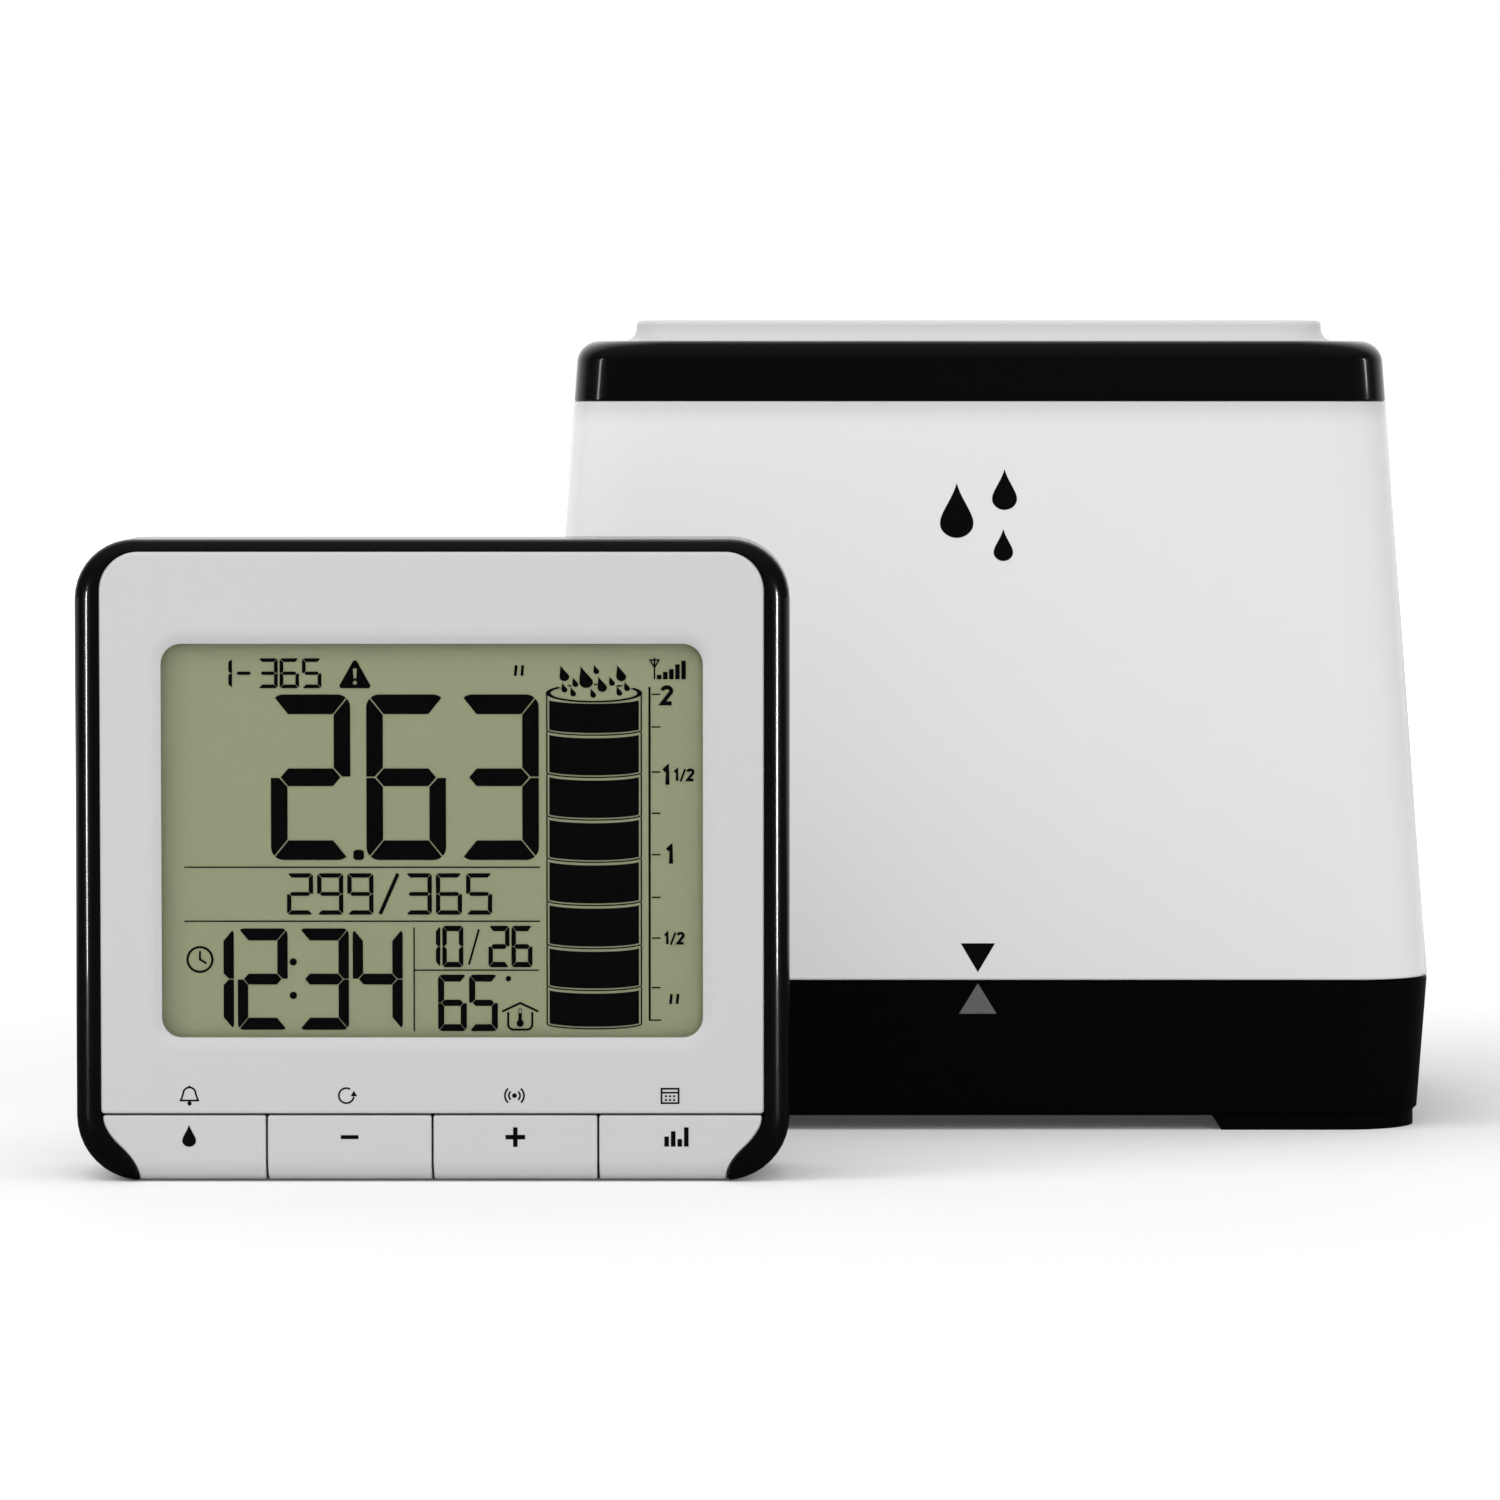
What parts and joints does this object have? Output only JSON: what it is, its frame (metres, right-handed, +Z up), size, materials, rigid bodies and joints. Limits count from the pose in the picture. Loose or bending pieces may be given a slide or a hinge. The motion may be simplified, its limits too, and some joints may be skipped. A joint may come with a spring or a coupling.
{
  "type": "digital rain gauge",
  "caption": "Wireless rain gauge set: a self-emptying tipping-bucket sensor with a rectangular funnel, and an upright desk console with a liquid crystal display.",
  "frame": {"origin": "on the table, under the middle of the box round both units", "axes": "+X along the units' fronts to the right, towards the sensor's side; +Y from the viewer to the back; +Z up"},
  "size_m": [0.2144, 0.1706, 0.1322],
  "materials": {
    "black_gloss": "polished moulded black",
    "black_base": "moulded black, satin to gloss",
    "white_gloss": "smooth moulded white",
    "funnel_grey": "satin moulded light grey",
    "panel_grey": "satin moulded light grey",
    "inner_black": "moulded, plain",
    "inner_grey": "moulded, plain",
    "steel": "plain bright",
    "magnet": "plain grey",
    "circuit_board": "green solder mask",
    "resin": "black resin",
    "reed_glass": "clear tinted glass",
    "window": "clear acrylic pane",
    "lcd_glass": "liquid crystal glass with its reflector, read as an olive-grey plate",
    "rubber": "plain",
    "wire": "bright wire and brass disc",
    "cell_wrap": "printed sleeve, bare of print"
  },
  "bodies": {
    "sensor_base": {"base_tray": "black_base", "bearing_frame": "inner_grey", "mechanism_screws": "steel", "stop_screws": "steel", "drain_screens": "steel", "electronics_case": "inner_grey", "transmitter_board": "circuit_board", "transmitter_chip": "resin", "reed_switch": "reed_glass", "transmitter_antenna": "wire", "sensor_cells": "cell_wrap", "sensor_contacts": "steel"},
    "sensor_cover": {"housing_shell": "white_gloss", "rim_collar": "black_gloss", "funnel": "funnel_grey"},
    "strainer": {"leaf_screen": "inner_black"},
    "bucket": {"tipping_bucket": "inner_black", "bucket_axle": "steel", "bucket_magnet": "magnet"},
    "cell_lid": {"sensor_lid": "inner_grey", "lid_seal": "rubber", "lid_screw": "steel", "lid_contact": "steel"},
    "console": {"front_fascia": "panel_grey", "rear_case": "black_gloss", "display_window": "window", "display_glass": "lcd_glass", "display_frame": "inner_grey", "contact_strips": "rubber", "console_board": "circuit_board", "console_chip": "resin", "tact_switches": "inner_black", "receiver_board": "circuit_board", "receiver_antenna": "wire", "sounder": "wire", "temperature_probe": "resin", "console_cells": "cell_wrap", "console_contacts": "steel", "case_screws": "steel", "board_screws": "steel"},
    "alert_button": {"alert_key": "panel_grey", "alert_plunger": "inner_black"},
    "minus_button": {"minus_key": "panel_grey", "minus_plunger": "inner_black"},
    "plus_button": {"plus_key": "panel_grey", "plus_plunger": "inner_black"},
    "history_button": {"history_key": "panel_grey", "history_plunger": "inner_black"},
    "stand": {"stand_leg": "black_gloss"},
    "cell_cover": {"battery_cover": "black_gloss"}
  },
  "joints": [
    {"name": "cover_lift", "type": "slide", "parent": "sensor_base", "child": "sensor_cover", "axis": [0, 0, 1], "range_m": [0, 0.1]},
    {"name": "strainer_lift", "type": "slide", "parent": "sensor_cover", "child": "strainer", "axis": [0, 0, 1], "range_m": [0, 0.052]},
    {"name": "bucket_tip", "type": "hinge", "parent": "sensor_base", "child": "bucket", "pos_m": [0.03358, 0.0363, 0.034], "axis": [0, 1, 0], "range_deg": [0, 30]},
    {"name": "cell_lid_lift", "type": "slide", "parent": "sensor_base", "child": "cell_lid", "axis": [0, 0, 1], "range_m": [0, 0.018]},
    {"name": "console_lift", "type": "slide", "parent": "sensor_base", "child": "console", "axis": [0, 0, 1], "range_m": [0, 0.14]},
    {"name": "alert_press", "type": "slide", "parent": "console", "child": "alert_button", "axis": [0, 1, 0], "range_m": [0, 0.0006], "stiffness_N_per_m": 400},
    {"name": "minus_press", "type": "slide", "parent": "console", "child": "minus_button", "axis": [0, 1, 0], "range_m": [0, 0.0006], "stiffness_N_per_m": 400},
    {"name": "plus_press", "type": "slide", "parent": "console", "child": "plus_button", "axis": [0, 1, 0], "range_m": [0, 0.0006], "stiffness_N_per_m": 400},
    {"name": "history_press", "type": "slide", "parent": "console", "child": "history_button", "axis": [0, 1, 0], "range_m": [0, 0.0006], "stiffness_N_per_m": 400},
    {"name": "stand_swing", "type": "hinge", "parent": "console", "child": "stand", "pos_m": [-0.05273, -0.0593, 0.0425], "axis": [1, 0, 0], "range_deg": [0, 45]},
    {"name": "cell_cover_off", "type": "slide", "parent": "console", "child": "cell_cover", "axis": [0, 1, 0], "range_m": [0, 0.012]}
  ]
}
